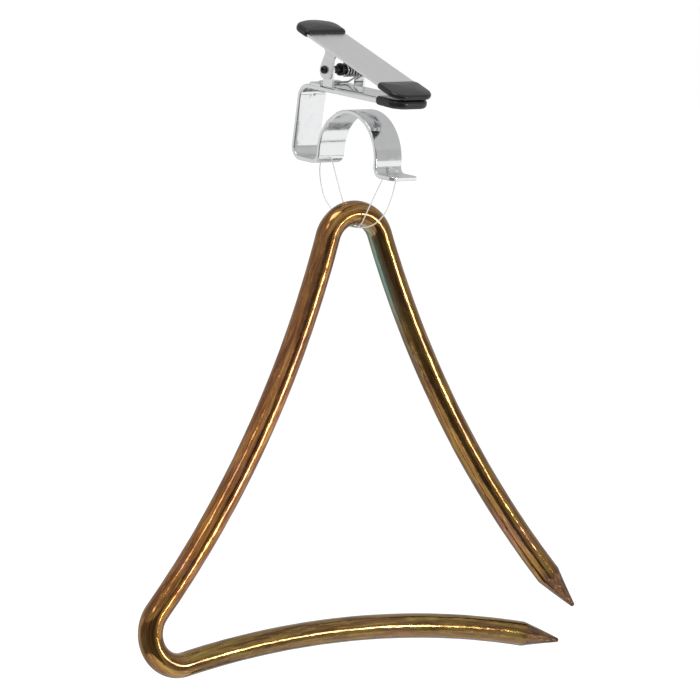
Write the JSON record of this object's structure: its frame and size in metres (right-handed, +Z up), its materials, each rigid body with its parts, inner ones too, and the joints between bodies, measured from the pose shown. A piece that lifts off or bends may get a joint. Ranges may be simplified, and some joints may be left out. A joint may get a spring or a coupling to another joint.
{
  "type": "hanging percussion triangle with holder clip",
  "caption": "Bowed-sided bronze triangle with tapered open ends, hung by two thin lines from a sprung metal clip with dipped jaws.",
  "frame": {"origin": "middle of the line where the clip's two jaw caps meet", "axes": "+Z up as it hangs; the triangle hangs in the XZ plane with its open corner towards +X; +Y from the jaws towards the clip's thumb end"},
  "size_m": [0.2523, 0.086, 0.3128],
  "materials": {
    "bronze": "hammered, polished and heat-coloured bronze",
    "nylon_line": "clear to off-white nylon line",
    "clip_chrome": "bright nickel-chrome plate",
    "spring_wire": "drawn spring wire, plated",
    "sleeve_black": "black sleeve",
    "dipped_vinyl": "glossy black dipped vinyl",
    "lever_satin": "satin plated sheet steel"
  },
  "bodies": {
    "clip_base": {"hanger_strap": "clip_chrome", "fixed_jaw": "clip_chrome", "jaw_rivet_near": "clip_chrome", "jaw_rivet_far": "clip_chrome", "fixed_jaw_cap": "dipped_vinyl", "pivot_pin": "clip_chrome", "pivot_sleeve": "sleeve_black", "torsion_spring": "spring_wire", "main_knot_rear": "nylon_line", "main_knot_front": "nylon_line", "safety_knot_rear": "nylon_line", "safety_knot_front": "nylon_line"},
    "clip_lever": {"lever": "lever_satin", "lever_jaw_cap": "dipped_vinyl", "lever_thumb_cap": "dipped_vinyl"},
    "loops": {"main_loop": "nylon_line", "safety_loop": "nylon_line"},
    "triangle": {"triangle_rod": "bronze"}
  },
  "joints": [
    {"name": "lever_pivot", "type": "hinge", "parent": "clip_base", "child": "clip_lever", "pos_m": [-0.00498, 0.0523, 0.01355], "axis": [-0.9957, -0.087, -0.0303], "range_deg": [0, 38], "stiffness_Nm_per_rad": 0.5, "springref_deg": -68.75, "deforming": ["torsion_spring"]},
    {"name": "loop_twist", "type": "hinge", "parent": "clip_base", "child": "loops", "pos_m": [-0.00279, 0.04351, -0.07031], "axis": [0, 0, 1], "range_deg": [-60, 60], "stiffness_Nm_per_rad": 0.03, "deforming": ["main_loop", "safety_loop"]},
    {"name": "triangle_swing", "type": "hinge", "parent": "loops", "child": "triangle", "pos_m": [-0.00279, 0.04351, -0.07065], "axis": [0, 1, 0], "range_deg": [-30, 30]}
  ]
}
